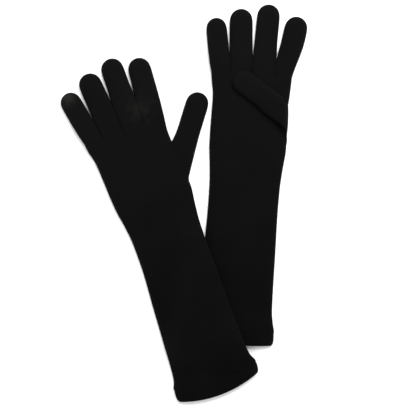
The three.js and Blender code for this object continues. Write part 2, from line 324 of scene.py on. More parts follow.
# Heights of one side of a flattened tube's skin, where u runs from -1 at its left fold to 1 at its right.
def skinHeight(u, middle, reach, crown):
    return middle + reach * np.sqrt(1 - np.minimum(np.abs(u), 1.0) ** crown)


flatter = 2.2  # how much squarer a section is on the side that lies on something


# Points round a flattened tube's section, evenly spaced along its skin: from the right fold over the top to
# the left fold, and back underneath.
def tubeSection(width, top, crown, segments, sole=None, middle=None, soleCrown=None):
    middle = fabric["fold"] if middle is None else middle
    sole = fabric["sole"] if sole is None else sole
    us = np.cos(np.linspace(0, np.pi, 240))
    halves = []
    for reach, shape in ((top - middle, crown), (sole - middle, soleCrown or crown * flatter)):
        zs = skinHeight(us, middle, reach, shape)
        lengths = np.concatenate([[0], np.cumsum(np.hypot(np.diff(us) * width / 2, np.diff(zs)))])
        even = np.linspace(0, lengths[-1], segments + 1)
        halves.append((np.interp(even, lengths, us), np.interp(even, lengths, zs)))
    (topU, topZ), (soleU, soleZ) = halves
    return np.concatenate([topU[:-1], soleU[:0:-1]]), np.concatenate([topZ[:-1], soleZ[:0:-1]])


ruffle = {
    "broad": 34.0,
    "broadStretch": 1.5,
    "broadHeight": 0.6,
    "fine": 13.0,
    "fineStretch": 1.3,
    "fineHeight": 0.25,
    "fineSeed": 7.3,
}


# Small unevenness of knitted fabric that was smoothed out by hand.
def ruffled(x, y, seed):
    broadY = y / (ruffle["broad"] * ruffle["broadStretch"])
    fineY = y / (ruffle["fine"] * ruffle["fineStretch"])
    broad = noise.noise(Vector((x / ruffle["broad"], broadY, seed)))
    fine = noise.noise(Vector((x / ruffle["fine"], fineY, seed + ruffle["fineSeed"])))
    return broad * ruffle["broadHeight"] + fine * ruffle["fineHeight"]


drape = {"height": 10.6, "margin": 6.0, "slope": 32.0, "wristFade": 16.0}


# How far the left glove's fabric is lifted where it crosses the right glove's sleeve.
def liftOver(glove, points):
    points = np.array(points, float)
    if glove.side != "left":
        return points
    spots = points.reshape(-1, 3)
    other = gloves["right"]
    there = other.local(glove.world(spots * [1, 1, 0]))
    left, right = cuffedEdges(other, there[:, 1], there[:, 1])
    beside = np.maximum(np.maximum(left - there[:, 0], there[:, 0] - right), 0)
    below = np.maximum(other.hemY - there[:, 1], 0)
    away = np.hypot(beside, below)
    fade = smoothStep(-spots[:, 1] / drape["wristFade"])
    spots[:, 2] += drape["height"] * smoothStep(1 - (away - drape["margin"]) / drape["slope"]) * fade
    return spots.reshape(points.shape)


def placed(glove, ring):
    return glove.world(liftOver(glove, ring))


sleeveShape = {
    "width": 88.0,  # that sections are worked out for
    "top": 7.9,
    "crown": 5.0,
    "underHem": ((-1.5, 1.1), (0.3, 0.6), (1.6, 0.12), (3.2, 0.0)),  # from the hem's end: height, inset
    "soleInset": 0.3,
    "firstRow": 6.5,
    "lastRow": 4.0,  # below the thumb's seam
    "rowEnds": 10.0,  # length that the number of rows leaves out
    "rowStep": 4.0,
    "bowFade": 84.0,  # the rows straighten out over this length
    "calmEdge": 6,
}
handShape = {
    "top": 9.3,
    "crown": 4.2,
    "rise": 46.0,  # from the wrist to the hand's full height
    "morph": 28.0,
    "crease": 8.0,
    "creaseFall": 1.4,
    "shoulder": 20.0,
    "lastRows": (0.14, 0.28, 0.42, 0.56, 0.69, 0.8, 0.9, 1.0),  # shares of the way from thumb to fingers
}


# A ring of the sleeve and hand tube, inset by so much, and distance below the finger bases.
def bodyRing(glove, y, distance, inset, seed):
    per = fabric["columns"]
    risen = smoothStep(y / handShape["rise"])
    top = mix(sleeveShape["top"], handShape["top"], risen)
    crown = mix(sleeveShape["crown"], handShape["crown"], risen)
    sole = fabric["sole"] + inset * sleeveShape["soleInset"]
    us, zs = tubeSection(sleeveShape["width"], top - inset, crown, 4 * per, sole)
    left, right = sideEdges(glove, y)
    bowFade = 1 - smoothStep((y - glove.hemY) / sleeveShape["bowFade"])
    bowed = y + bowFade * glove.hemBow(mix(left, right, (us + 1) / 2))
    left, right = cuffedEdges(glove, bowed, y)
    right = right - seamRecess(glove, bowed)
    xs = mix(left + inset - fabric["shrink"], right - inset + fabric["shrink"], (us + 1) / 2)
    ring = np.stack([xs, bowed, zs], axis=1)
    # towards the fingers it takes on their row of round sections
    lobe = fingerBases(glove)
    endLeft, endRight = sideEdges(glove, glove.knuckles)
    plain = np.stack([mix(endLeft, endRight, (us + 1) / 2), np.full(len(us), glove.knuckles)], axis=1)
    spread = smoothStep(1 - distance / handShape["morph"])
    valleys = math.exp(-((max(distance, 0) / handShape["crease"]) ** handShape["creaseFall"]))
    ring[:, :2] += (lobe[:, :2] - plain) * spread
    ring[:, 2] = mix(ring[:, 2], lobe[:, 2], valleys)
    for j in range(1, 4 * per):
        calm = (1 - abs(us[j]) ** sleeveShape["calmEdge"]) * (1 - valleys)
        ring[j, 2] += ruffled(ring[j, 0], ring[j, 1], seed) * calm
    return ring

# The finger bases' ring: four sections side by side, meeting at the forks.
def fingerBases(glove):
    per = fabric["columns"]
    fork = fingerShape["fork"]
    ring = np.zeros((8 * per, 3))
    for finger in range(4):
        right, left = glove.forks[finger], glove.forks[finger + 1]
        width = np.linalg.norm(right - left)
        us, zs = tubeSection(width, fingerShape["top"], fingerShape["crown"], per, middle=fork)
        section = np.column_stack([mix(left, right, (us[:, None] + 1) / 2), zs])
        ring[per * finger:per * (finger + 1) + 1] = section[:per + 1]
        end = 8 * per - per * finger
        ring[end - per:end] = section[per:]
    ring[0] = (*glove.forks[0], fork)
    return ring


# Where the thumb is folded over, the hand's side is drawn in under it.
def seamRecess(glove, y):
    if glove.side == "left":
        return 0.0
    low, high = glove.seamEnds[0][1], glove.seamEnds[1][1]
    fade = foldedThumb["recessFade"]
    fromLow = smoothStep((y - low - foldedThumb["recessLow"]) / fade)
    return foldedThumb["recess"] * fromLow * smoothStep((high - foldedThumb["recessHigh"] - y) / fade)


def makeGlove(glove, seed):
    per = fabric["columns"]
    start = glove.hemY + hemShape["depth"]
    low, high = glove.seamEnds[0][1], glove.seamEnds[1][1]
    stations = [(start + above, inset) for above, inset in sleeveShape["underHem"]]
    sleeveRows = int((low - start - sleeveShape["rowEnds"]) / sleeveShape["rowStep"])
    bottom, top = start + sleeveShape["firstRow"], low - sleeveShape["lastRow"]
    stations += [(y, 0.0) for y in np.linspace(bottom, top, sleeveRows)]
    firstSeamRow = len(stations)
    lastSeamRow = firstSeamRow + thumbShape["seamRows"]
    stations += [(y, 0.0) for y in np.linspace(low, high, thumbShape["seamRows"] + 1)]
    stations += [(high + (glove.knuckles - high) * t, 0.0) for t in handShape["lastRows"]]
    us, zs = tubeSection(sleeveShape["width"], handShape["top"], handShape["crown"], 4 * per)
    steps = np.hypot(np.diff(np.append(us, us[0])) * sleeveShape["width"] / 2, np.diff(np.append(zs, zs[0])))
    across = np.concatenate([[0], np.cumsum(steps)])
    rings = [placed(glove, bodyRing(glove, y, glove.knuckles - y, inset, seed)) for y, inset in stations]
    skin = Skin(rings[0], across)
    rows = [skin.first]
    for ring in rings[1:]:
        rows.append(skin.grow(rows[-1], ring))
    # the fingers grow out of the last row, joined at the forks
    last = rows[-1]
    verts = last["verts"]
    count = 8 * per
    bmesh.ops.weld_verts(skin.mesh, targetmap={verts[count - per * k]: verts[per * k] for k in (1, 2, 3)})
    for k in range(4):
        top = list(range(per * k, per * k + per + 1))
        sole = list(range(count - per * (k + 1) + 1, count - per * k))
        spans = [last["spans"][j] for j in top[:-1]] + [last["spans"][j - 1] for j in sole]
        spans.append(last["spans"][count - per * k - 1])
        columns = top + sole
        along = [last["along"][j] for j in columns]
        base = {"verts": [verts[j] for j in columns], "spans": spans, "along": along}
        growFinger(skin, base, glove, k, seed)
    growThumb(skin, rows, firstSeamRow, lastSeamRow, glove, seed)
    whole = skin.object(glove.side + "_glove")
    names = ["sleeveAndHand"] + [name + "Finger" for name in digitNames] + ["thumbTube"]
    return takeApart(whole, [f"{glove.side}_{name}" for name in names])


# Lists in here run from the index finger to the little finger.
fingerShape = {
    "top": 8.8,
    "crown": 2.8,
    "base": 0.8,  # the solid is first measured this far up
    "middleAt": (0.6, 0.84),  # shares of the length where the middle line is read
    "widest": 0.75,  # share of the length where the width is taken for the tip
    "firstRows": (1.6, 4.0, 7.0),
    "rowStep": 3.2,
    "lastStep": 1.5,
    "tipHeight": 3.6,
    "longer": {"left": (0.5, 0.5, 0.5, 0.5), "right": (0.5, 0.5, 0.5, 1.1)},
    "fork": 5.8,  # height of the side edges at the base
    "sinkFrom": 17.0,
    "sinkLength": 26.0,
    "ruffleFade": 12.0,
    "calmEdge": 4,
    "touching": {"left": (22.5, 22.0, 6.5), "right": (9.5, 7.5, 4.0)},  # how far up from each fork
    "gapOpening": 26.0,
    "overlap": 1.3,  # of pressed edges, as a multiple of the shrinking
    "indexDraw": {"left": 0.0, "right": 4.6},  # how far the index finger's outer edge is drawn in at its base
    "indexFade": 44.0,
}
tipShape = {"rings": (18, 35, 50, 63, 74, 83), "outline": 2.15, "profile": 2.4, "blunt": 0.45}


# Places of rows along a finger or thumb, the last at the end itself.
def rowPlaces(start, end):
    return [*np.arange(start, end - fingerShape["lastStep"], fingerShape["rowStep"]), end]


# The rings of a tip: the share of its length, and the shares of its width and height that are left there.
def tipDomes():
    for angle in tipShape["rings"]:
        t = math.sin(math.radians(angle))
        yield t, math.sqrt(1 - t ** tipShape["outline"]), (1 - t ** tipShape["profile"]) ** tipShape["blunt"]


# Places of a finger's two edges, at a distance from its base.
def fingerEdges(digit, s):
    direction, across = digit["direction"], digit["across"]
    measured = min(max(s, fingerShape["base"]), digit["reach"] - 0.05)
    low, high = cutAt(digit["edges"], digit["start"], direction, measured)
    middle = digit["start"] + direction * s
    return middle + across * (high + fabric["shrink"]), middle + across * (low - fabric["shrink"])


def growFinger(skin, row, glove, k, seed):
    digit = glove.digits[digitNames[k]]
    direction, across = digit["direction"], digit["across"]
    touching = fingerShape["touching"][glove.side]
    reach = digit["reach"] + fingerShape["longer"][glove.side][k]
    right, left = fingerEdges(digit, reach * fingerShape["widest"])
    tipStart = reach - np.linalg.norm(right - left) / 2
    *firstRows, nextRow = fingerShape["firstRows"]
    for s in [*firstRows, *rowPlaces(nextRow, tipStart)]:
        right, left = fingerEdges(digit, s)
        if k > 0:
            neighbour = fingerEdges(glove.digits[digitNames[k - 1]], s)[1]
            right = pressed(right, neighbour, across, s, touching[k - 1])
        else:
            fade = 1 - smoothStep(s / fingerShape["indexFade"])
            right = right - across * fingerShape["indexDraw"][glove.side] * fade
        if k < 3:
            neighbour = fingerEdges(glove.digits[digitNames[k + 1]], s)[0]
            left = pressed(left, neighbour, -across, s, touching[k])
        sunk = smoothStep((s - fingerShape["sinkFrom"]) / fingerShape["sinkLength"])
        fold = mix(fingerShape["fork"], fabric["fold"], sunk)
        ring = fingerRing(right, left, 1.0, seed + k, smoothStep(s / fingerShape["ruffleFade"]), fold)
        row = skin.grow(row, placed(glove, ring), k + 1)
    middle, half = (right + left) / 2, (right - left) / 2
    tip = direction * (reach - tipStart)
    for t, wide, dome in tipDomes():
        centre = middle + tip * t
        ring = fingerRing(centre + half * wide, centre - half * wide, dome, seed + k, dome, fabric["fold"])
        row = skin.grow(row, placed(glove, ring), k + 1)
    skin.close(row, glove.world((*(middle + tip), fingerShape["tipHeight"])), k + 1)


# Two neighbouring fingers' edges meet half-way for the length that they are pressed together.
def pressed(edge, neighbour, outward, s, length):
    meeting = mix(edge, neighbour, 0.5) + outward * fabric["shrink"] * fingerShape["overlap"]
    return mix(meeting, edge, float(smoothStep((s - length) / fingerShape["gapOpening"])))


def fingerRing(right, left, dome, seed, ruffling, fold):
    width = np.linalg.norm(right - left)
    us, zs = tubeSection(width, fingerShape["top"], fingerShape["crown"], fabric["columns"], middle=fold)
    ring = np.column_stack([mix(left, right, (us[:, None] + 1) / 2), zs])
    ring[:, 2] = mix(fingerShape["tipHeight"], ring[:, 2], dome)
    for j in range(1, fabric["columns"]):
        calm = ruffling * (1 - abs(us[j]) ** fingerShape["calmEdge"])
        ring[j, 2] += ruffled(ring[j, 0], ring[j, 1], seed) * calm
    return ring


thumbShape = {
    "inset": 2.0,
    "seam": 47.0,
    "seamRows": 12,
    "holeColumns": 2,
    "top": 8.8,
    "crown": 2.9,
    "baseTop": 7.4,
    "baseCrown": 3.8,
    "full": 26.0,  # how far from the seam it has its own width
    "baseSteps": 8,
    "measured": 0.8,  # share of that distance where its width there is taken
    "nextRow": 3.0,
    "leanIn": 0.35,
    "end": 0.8,  # share of the length where the width is taken for the tip
}
foldedThumb = {
    "radius": 5.4,
    "recess": 7.0,  # of the hand's side under the fold
    "recessFade": 12.0,
    "recessLow": 3.0,
    "recessHigh": 1.0,
    "middle": 3.5,
    "bulge": 0.3,
    "neck": 2.2,  # half the thickness at the fold
    "neckRows": (2.0, 4.2, 6.6, 9.0, 11.4, 13.8, 16.2),
    "narrowing": 8.0,  # length of neck in which it loses 1 of its width
    "filling": 60.0,  # length of neck in which it would fill out
    "topIn": 2.0,
    "startShare": 0.25,
    "above": 2.7,
    "below": 4.2,
    "edge": 2.5,
    "palmCrown": 6.0,
    "outerCrown": 2.9,
    "tipRise": 1.2,
    "rise": 18.0,  # how much higher the thumb leaves the fold than its seam begins
    "shorter": 5.5,
    "higher": 5.0,  # how far it lies towards the fingers from where its seam alone would put it
    "tilt": 0.7,  # its edge towards the fingers lies lower on the palm than the other
}


# Opens the hole for the thumb in the hand's side, and gives the vertices round it.
def thumbHole(skin, rows, first, last):
    m = thumbShape["holeColumns"]
    doomed = []
    for i in range(first, last):
        for j in range(-m, m):
            corners = {rows[a]["verts"][b] for a in (i, i + 1) for b in (j, j + 1)}
            doomed.append(next(f for f in rows[i]["verts"][j].link_faces if set(f.verts) == corners))
    bmesh.ops.delete(skin.mesh, geom=doomed, context="FACES")
    spots = [(first, j) for j in range(m + 1)] + [(i, m) for i in range(first + 1, last + 1)]
    spots += [(last, j) for j in range(m - 1, -m - 1, -1)] + [(i, -m) for i in range(last - 1, first - 1, -1)]
    spots += [(first, j) for j in range(1 - m, 0)]
    return [rows[i]["verts"][j] for i, j in spots]


# The section of a folded thumb, before it is folded over, where share of its own shape is reached.
def foldedSection(width, share, dome, segments):
    level, neckHalf = foldedThumb["middle"], foldedThumb["neck"]
    palmSide = level + mix(neckHalf, foldedThumb["below"], share)
    outerSide = level - mix(neckHalf, foldedThumb["above"], share)
    edge = level + mix(0, foldedThumb["edge"], share)
    crowns = foldedThumb["palmCrown"], foldedThumb["outerCrown"]
    us, zs = tubeSection(width, palmSide, crowns[0], segments, outerSide, edge, crowns[1])
    return us, mix(level + foldedThumb["tipRise"], zs, dome) - us * foldedThumb["tilt"] * share


def openSection(width, share, dome, segments):
    top = mix(thumbShape["baseTop"], thumbShape["top"], share)
    us, zs = tubeSection(width, top, mix(thumbShape["baseCrown"], thumbShape["crown"], share), segments)
    return us, mix(fingerShape["tipHeight"], zs, dome)


def growThumb(skin, rows, first, last, glove, seed):
    verts = thumbHole(skin, rows, first, last)
    segments = len(verts) // 2
    folded = glove.side == "right"
    edges = glove.cadEdges("thumb")
    if folded:
        edges = tuple(reflected(glove, end) for end in edges)
    seamLow, seamHigh = glove.seamEnds
    middle = (seamLow + seamHigh) / 2
    digit = readDigit(edges, middle)
    start, direction, across, reach = (digit[key] for key in ("start", "direction", "across", "reach"))

    def marksOf(points):
        return [(float(p[:2] @ across), float(p[:2] @ direction)) for p in points]

    def add(right, left, share, dome=1.0, neck=None):
        section = foldedSection if folded else openSection
        us, zs = section(np.linalg.norm(right - left), share, dome, segments)
        ring = np.column_stack([mix(left, right, (us[:, None] + 1) / 2), zs])
        marks = marksOf(ring)
        for j in range(1, segments):
            calm = dome * share * (1 - abs(us[j]) ** fingerShape["calmEdge"])
            ring[j, 2] += ruffled(ring[j, 0], ring[j, 1], seed) * calm
        if folded:
            ring = foldOver(glove, ring, neck)
        return skin.grow(row, placed(glove, ring), 5, marks)

    holeMarks = marksOf(glove.local([v.co for v in verts]))
    row = {"verts": verts, "spans": None, "along": [0.0] * len(verts), "marks": holeMarks}
    if folded:
        reach -= foldedThumb["shorter"]
        lowEnd = seamLow
        for neck in foldedThumb["neckRows"]:
            risen = smoothStep(neck / foldedThumb["neckRows"][-1])
            seamLow = lowEnd + glove.seam * foldedThumb["rise"] * risen
            left = seamHigh - glove.seam * neck / foldedThumb["narrowing"]
            row = add(seamLow, left, neck / foldedThumb["filling"], neck=neck)
        seamHigh = seamHigh - glove.seam * foldedThumb["topIn"]
        middle = middle + glove.seam * foldedThumb["higher"]
    full, steps = thumbShape["full"], thumbShape["baseSteps"]
    for i in range(1, steps + 1):
        t = i / steps
        s = full * t
        low, high = cutAt(edges, start, direction, max(s, full * thumbShape["measured"]))
        bend = math.sin(t * math.pi / 2)
        out = middle + direction * s
        right = mix(seamLow + direction * s, out + across * high, bend)
        left = mix(seamHigh + direction * s * (1 - thumbShape["leanIn"] * t), out + across * low, bend)
        row = add(right, left, mix(foldedThumb["startShare"], 1.0, smoothStep(t)) if folded else t)
    low, high = cutAt(edges, start, direction, reach * thumbShape["end"])
    tipStart = reach - (high - low) / 2
    for s in rowPlaces(full + thumbShape["nextRow"], tipStart):
        low, high = cutAt(edges, start, direction, s)
        right, left = (middle + direction * s + across * edge for edge in (high, low))
        row = add(right, left, 1.0)
    end, half = (right + left) / 2, (right - left) / 2
    tip = direction * (reach - tipStart)
    for t, wide, dome in tipDomes():
        centre = end + tip * t
        row = add(centre + half * wide, centre - half * wide, 1.0, dome)
    last = np.array([[*(end + tip), foldedThumb["middle"] if folded else fingerShape["tipHeight"]]])
    mark = marksOf(last)[0]
    if folded:
        last = foldOver(glove, last, None)
    skin.close(row, tuple(placed(glove, last)[0]), 5, mark)


# Points of the folded thumb as they would lie if it were turned back out about its seam.
def reflected(glove, points):
    turned = np.array(points)
    away = (turned[:, :2] - glove.thumbHinge[:2]) @ glove.seamSide
    turned[:, :2] -= 2 * away[:, None] * glove.seamSide
    return turned


# Turns a ring that lies flat up and back over the palm, round a soft bend beside the hand. A ring of the neck
# lies at its own distance along the bend, and the others follow on from their distance to the seam.
def foldOver(glove, ring, neck):
    radius, level, deep = (foldedThumb[key] for key in ("radius", "middle", "recess"))
    away = (ring[:, :2] - glove.seamEnds[0]) @ glove.seamSide
    beyond = 2 * thumbShape["inset"] - deep + math.pi * radius
    along = away + beyond if neck is None else np.full(len(ring), neck)
    height = ring[:, 2] - level
    angle = np.clip(along / radius, 0, math.pi)
    here = mix(seamRecess(glove, ring[:, 1]), deep, smoothStep(angle / math.pi))
    out = (radius - height) * np.sin(angle) * (here + foldedThumb["bulge"]) / (radius + foldedThumb["neck"])
    out -= np.maximum(along - math.pi * radius, 0)
    folded = ring.copy()
    folded[:, :2] += (out - here - away)[:, None] * glove.seamSide
    folded[:, 2] = level + radius - (radius - height) * np.cos(angle)
    return folded


# A row of the hem is given as its height above the hem's lower edge and its inset from the outer skin.
hemShape = {
    "depth": 12.0,
    "top": 8.5,
    "crown": 5.6,
    "corners": 0.7,  # share of the depth where its sides are measured
    "corner": 1.3,
    "cornerHeight": 4.0,
    "drop": 1.2,
    "dropHeight": 14.0,
    "flare": 14.0,
    "taper": 20.0,
    "sleeveAt": 26.0,  # where the sleeve's width is taken
    "gap": 0.5,  # from the middle to the inner layer
    "soleInset": 0.5,
    "measureIn": 5.0,
    "measures": 25,
    "around": 190.0,
    "overEdge": ((0.5, 1.0), (0.1, 0.45), (-0.9, 0.08), (-3.0, 0.0), (-6.0, 0.0)),  # from its upper edge
    "turn": ((3.0, 0.0), (1.2, 0.08), (0.35, 0.4), (0.0, 1.0), (0.35, 1.6), (1.2, 1.95), (3.0, 2.0)),
    "insideEdge": ((-6.0, 2.0), (-3.0, 2.0), (-0.7, 2.0), (0.5, 2.0)),  # from its upper edge
}


def hemRing(glove, above, inset, seed):
    per = fabric["columns"]
    cuffLeft, cuffRight, _ = glove.cuffEdges
    narrow = hemShape["corner"] * (1 - smoothStep(above / hemShape["cornerHeight"])) + inset
    low, high = sideEdges(glove, glove.hemY + hemShape["sleeveAt"])
    taper = smoothStep((above - hemShape["depth"] * hemShape["corners"]) / hemShape["taper"])
    left, right = mix(cuffLeft, low, taper) + narrow, mix(cuffRight, high, taper) - narrow
    middle = fabric["fold"]
    top = max(hemShape["top"] - inset, middle + hemShape["gap"])
    sole = min(fabric["sole"] + inset * hemShape["soleInset"], middle - hemShape["gap"])
    us, zs = tubeSection(right - left, top, hemShape["crown"], 4 * per, sole)
    xs = mix(left, right, (us + 1) / 2)
    drop = hemShape["drop"] * (1 - above / hemShape["dropHeight"])
    ring = np.column_stack([xs, glove.hemY + above - drop + glove.hemBow(xs), zs])
    for j in range(1, 4 * per):
        calm = 1 - abs(us[j]) ** sleeveShape["calmEdge"]
        ring[j, 2] += ruffled(xs[j], glove.hemY + above, seed) * calm
    return ring


def makeHem(glove, seed):
    outer, inner = ([(hemShape["depth"] + d, inset) for d, inset in hemShape[key]]
                    for key in ("overEdge", "insideEdge"))
    places = [*outer, *hemShape["turn"], *inner]
    rings = [placed(glove, hemRing(glove, above, inset, seed)) for above, inset in places]
    skin = Skin(rings[0], np.linspace(0, hemShape["around"], 8 * fabric["columns"] + 1))
    row = skin.first
    for ring in rings[1:]:
        row = skin.grow(row, ring)
    count = len(rings[0])
    ends = skin.first["verts"], row["verts"]
    loops = [skin.mesh.edges.get((loop[j], loop[(j + 1) % count])) for loop in ends for j in range(count)]
    bmesh.ops.bridge_loops(skin.mesh, edges=loops)
    return finishMesh(skin.object(glove.side + "_hemBand"))


stitching = {"pitch": 2.4, "long": 1.9, "thick": 0.5, "above": 0.55, "sunk": 0.75, "slant": 9, "ahead": 0.6}


def makeStitches(glove, seed):
    ring = placed(glove, hemRing(glove, hemShape["depth"] + stitching["above"], stitching["sunk"], seed))
    loop = np.vstack([ring, ring[:1]])
    lengths = np.concatenate([[0], np.cumsum(np.linalg.norm(np.diff(loop, axis=0), axis=1))])
    count = int(lengths[-1] / (stitching["pitch"] * millimetre))
    slant = Matrix.Rotation(math.radians(stitching["slant"]), 4, "Z")
    long, thick = (stitching[key] / 2 * millimetre for key in ("long", "thick"))
    size = Matrix.Diagonal((long, thick, thick, 1))

    def placeAt(distance):
        return np.array([np.interp(distance % lengths[-1], lengths, loop[:, k]) for k in range(3)])

    bm = bmesh.new()
    for i in range(count):
        at = lengths[-1] * i / count
        here = placeAt(at)
        heading = Vector(placeAt(at + stitching["ahead"] * millimetre) - here).normalized()
        turn = heading.to_track_quat("X", "Z").to_matrix().to_4x4()
        matrix = Matrix.Translation(here) @ turn @ slant @ size
        bmesh.ops.create_uvsphere(bm, u_segments=8, v_segments=6, radius=1.0, matrix=matrix)
    return finishMesh(objectFrom(bm, glove.side + "_hemStitches"), levels=0)


def socket(group, name, kind, direction, value=None):
    made = group.interface.new_socket(name=name, in_out=direction, socket_type="NodeSocket" + kind)
    if value is not None:
        made.default_value = value


# Gives an input a constant, or links it to another node's output.
def feed(tree, value, target):
    if isinstance(value, bpy.types.NodeSocket):
        tree.links.new(value, target)
    else:
        target.default_value = value


def mathNode(tree, operation, *values, clamp=False):
    node = tree.nodes.new("ShaderNodeMath")
    node.operation = operation
    node.use_clamp = clamp
    for i, value in enumerate(values):
        feed(tree, value, node.inputs[i])
    return node.outputs[0]


def noiseNode(tree, place, scale, detail):
    node = tree.nodes.new("ShaderNodeTexNoise")
    node.inputs["Detail"].default_value = detail
    feed(tree, place, node.inputs["Vector"])
    feed(tree, scale, node.inputs["Scale"])
    return node.outputs["Fac"]


def mixColour(tree, factor, first, second):
    node = tree.nodes.new("ShaderNodeMix")
    node.data_type = "RGBA"
    feed(tree, factor, node.inputs["Factor"])
    feed(tree, first, node.inputs["A"])
    feed(tree, second, node.inputs["B"])
    return node.outputs["Result"]


def bumpNormal(tree, height, relief, strength):
    node = tree.nodes.new("ShaderNodeBump")
    node.inputs["Strength"].default_value = strength
    node.inputs["Distance"].default_value = relief * millimetre
    feed(tree, height, node.inputs["Height"])
    return node.outputs["Normal"]


def attributeNode(tree, name):
    node = tree.nodes.new("ShaderNodeAttribute")
    node.attribute_name = name
    return node.outputs["Fac"]


def groupNode(tree, group, **inputs):
    node = tree.nodes.new("ShaderNodeGroup")
    node.node_tree = group
    for name, value in inputs.items():
        feed(tree, value, node.inputs[name])
    return node


# A new material, with its shader set from a dictionary of input names.
def newMaterial(name, shaderInputs):
    material = bpy.data.materials.new(name)
    material.use_nodes = True
    shader = material.node_tree.nodes["Principled BSDF"]
    for key, value in shaderInputs.items():
        shader.inputs[key].default_value = value
    return material, material.node_tree, shader


knitPattern = {"wobbleScale": 0.35, "slant": 1.3, "legRound": 0.6, "ridgeRound": 0.5, "gapSharp": 0.35}


# Plain knitting: columns of V-shaped stitches. Height is 0 between the stitches and 1 on top of a yarn.
def knitGroup():
    tree = bpy.data.node_groups.new("plainKnit", "ShaderNodeTree")
    socket(tree, "Fabric", "Vector", "INPUT")
    socket(tree, "StitchWidth", "Float", "INPUT", 1.4)
    socket(tree, "StitchHeight", "Float", "INPUT", 1.1)
    socket(tree, "Unevenness", "Float", "INPUT", 0.35)
    socket(tree, "Height", "Float", "OUTPUT")
    # the second output marks the hollows between the stitches, where the material paints shade
    socket(tree, "GapShade", "Float", "OUTPUT")
    into = tree.nodes.new("NodeGroupInput").outputs
    out = tree.nodes.new("NodeGroupOutput").inputs
    wobble = noiseNode(tree, into["Fabric"], knitPattern["wobbleScale"], 2.0)
    parts = tree.nodes.new("ShaderNodeSeparateXYZ")
    feed(tree, into["Fabric"], parts.inputs[0])
    shift = mathNode(tree, "MULTIPLY", mathNode(tree, "SUBTRACT", wobble, 0.5), into["Unevenness"])
    column, course = (
        mathNode(tree, "ADD", mathNode(tree, "DIVIDE", parts.outputs[axis], into[size]), shift)
        for axis, size in (("X", "StitchWidth"), ("Y", "StitchHeight"))
    )
    side = mathNode(tree, "ABSOLUTE", mathNode(tree, "SUBTRACT", mathNode(tree, "FRACT", column), 0.5))
    slanted = mathNode(tree, "SUBTRACT", course, mathNode(tree, "MULTIPLY", side, knitPattern["slant"]))
    wave = mathNode(tree, "COSINE", mathNode(tree, "MULTIPLY", slanted, math.tau))
    legs = mathNode(tree, "POWER", mathNode(tree, "MULTIPLY_ADD", wave, 0.5, 0.5), knitPattern["legRound"])
    ridge = mathNode(tree, "SINE", mathNode(tree, "MULTIPLY", side, math.tau))
    height = mathNode(tree, "MULTIPLY", legs, mathNode(tree, "POWER", ridge, knitPattern["ridgeRound"]))
    feed(tree, height, out["Height"])
    solid = mathNode(tree, "POWER", height, knitPattern["gapSharp"])
    feed(tree, mathNode(tree, "SUBTRACT", 1.0, solid, clamp=True), out["GapShade"])
    return tree


toneAndHighlightLook = {
    "lintScale": 900.0,
    "lintFrom": 0.62,
    "lintGain": 6.0,
    "streakScale": 130.0,
    "streakGain": 3.4,
    # strength of the painted highlight on the back of the left hand and of the lighter fingertip
    "highlightAndTipStrength": 0.72,
}


# Slow change over the piece from handling and uneven dye, specks of lint, and the spots of painted highlight
# and lighter fingertip, each from 0 to 1.
def toneAndHighlightGroup():
    tree = bpy.data.node_groups.new("toneAndHighlight", "ShaderNodeTree")
    socket(tree, "Place", "Vector", "INPUT")
    socket(tree, "PatchSize", "Float", "INPUT", 0.04)
    # share of painted highlight and lighter fingertip at each point
    socket(tree, "Rubbed", "Float", "INPUT", 0.0)
    socket(tree, "Amount", "Float", "OUTPUT")
    socket(tree, "Rub", "Float", "OUTPUT")
    socket(tree, "Lint", "Float", "OUTPUT")
    into = tree.nodes.new("NodeGroupInput").outputs
    out = tree.nodes.new("NodeGroupOutput").inputs
    patches = noiseNode(tree, into["Place"], mathNode(tree, "DIVIDE", 1.0, into["PatchSize"]), 3.0)
    feed(tree, patches, out["Amount"])
    lint = noiseNode(tree, into["Place"], toneAndHighlightLook["lintScale"], 2.0)
    specks = mathNode(tree, "SUBTRACT", lint, toneAndHighlightLook["lintFrom"])
    feed(tree, mathNode(tree, "MULTIPLY", specks, toneAndHighlightLook["lintGain"], clamp=True), out["Lint"])
    # a faint spot of painted highlight and lighter fingertip is streaky, a strong one is even
    streaks = noiseNode(tree, into["Place"], toneAndHighlightLook["streakScale"], 3.0)
    uneven = mathNode(tree, "MULTIPLY", mathNode(tree, "SUBTRACT", streaks, 0.5), toneAndHighlightLook["streakGain"])
    outsideSpots = mathNode(tree, "SUBTRACT", 1.0, into["Rubbed"])
    broken = mathNode(tree, "MULTIPLY_ADD", uneven, outsideSpots, into["Rubbed"], clamp=True)
    spotLightening = mathNode(tree, "MULTIPLY", into["Rubbed"], broken)
    feed(tree, mathNode(tree, "MULTIPLY", spotLightening, toneAndHighlightLook["highlightAndTipStrength"]), out["Rub"])
    return tree


knitLook = {
    "dark": (0.00052, 0.00052, 0.00054, 1),
    "light": (0.0034, 0.00338, 0.0034, 1),
    # colour of the painted highlight and of the lighter fingertip
    "tipAndHighlight": (0.019, 0.0187, 0.0165, 1),
    "stitchWidth": 1.45,
    "stitchHeight": 1.15,
    "relief": 0.35,
    "reliefStrength": 0.8,
    "gapShade": 0.45,
    "lintShade": 0.5,
    # how much painted light lightens the knit towards the fingers
    "paintedLightFallShade": 0.75,
    "shade": 0.62,
    "shader": {
        "Roughness": 0.86,
        "Specular IOR Level": 0.05,
        "Sheen Weight": 0.008,
        "Sheen Roughness": 0.45,
        "Sheen Tint": (0.8, 0.8, 0.85, 1),
    },
}


